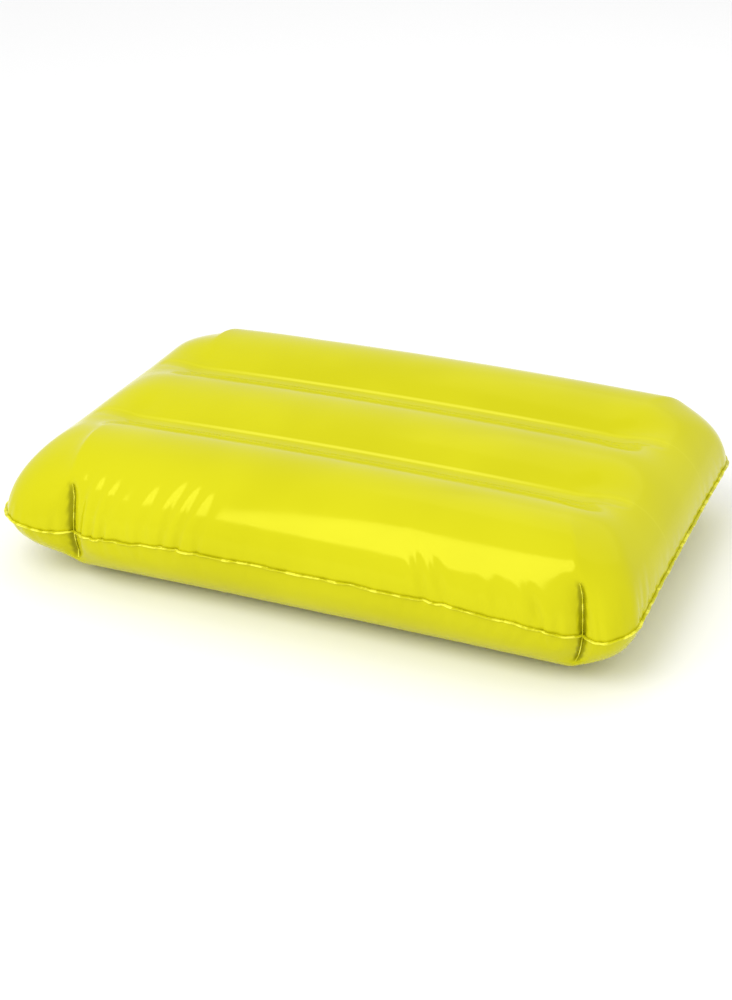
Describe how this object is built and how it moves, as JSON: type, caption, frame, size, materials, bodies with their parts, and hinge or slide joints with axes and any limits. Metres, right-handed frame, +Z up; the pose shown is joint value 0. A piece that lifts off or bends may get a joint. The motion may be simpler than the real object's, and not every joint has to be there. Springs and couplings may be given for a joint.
{
  "type": "inflatable pillow",
  "caption": "Inflatable rectangular camping pillow with lengthwise air channels, a mid-height rim weld, pinched corners and a push-in mouth valve with a tethered plug.",
  "frame": {"origin": "on the ground under the middle of the inflated pillow", "axes": "+Z up, +X along the channels, +Y towards the long wall that holds the valve"},
  "size_m": [0.368, 0.252, 0.08],
  "materials": {
    "sheet": "glossy soft PVC film, lime yellow",
    "baffle": "soft PVC film, lime yellow",
    "valve_film": "thin milky PVC",
    "valve_moulding": "soft moulded PVC"
  },
  "bodies": {
    "pillow": {"top_sheet": "sheet", "bottom_sheet": "sheet", "front_baffle": "baffle", "rear_baffle": "baffle", "valve_flange": "valve_film", "valve_skirt": "valve_film"},
    "valve_stem": {"valve_stem": "valve_moulding", "plug_tether": "valve_moulding"},
    "valve_plug": {"valve_plug": "valve_moulding"},
    "valve_flap": {"valve_flap": "valve_film"}
  },
  "joints": [
    {"name": "stem_push", "type": "slide", "parent": "pillow", "child": "valve_stem", "axis": [0, 0.915, 0.4034], "range_m": [0, 0.012], "deforming": ["valve_skirt"]},
    {"name": "plug_swing", "type": "hinge", "parent": "valve_stem", "child": "valve_plug", "pos_m": [-0.118, 0.12274, 0.05565], "axis": [0, -0.4034, 0.915], "range_deg": [0, 130]},
    {"name": "flap_open", "type": "hinge", "parent": "valve_stem", "child": "valve_flap", "pos_m": [-0.1127, 0.10681, 0.04863], "axis": [0, 0.4034, -0.915], "range_deg": [0, 50], "stiffness_Nm_per_rad": 0.00002}
  ]
}
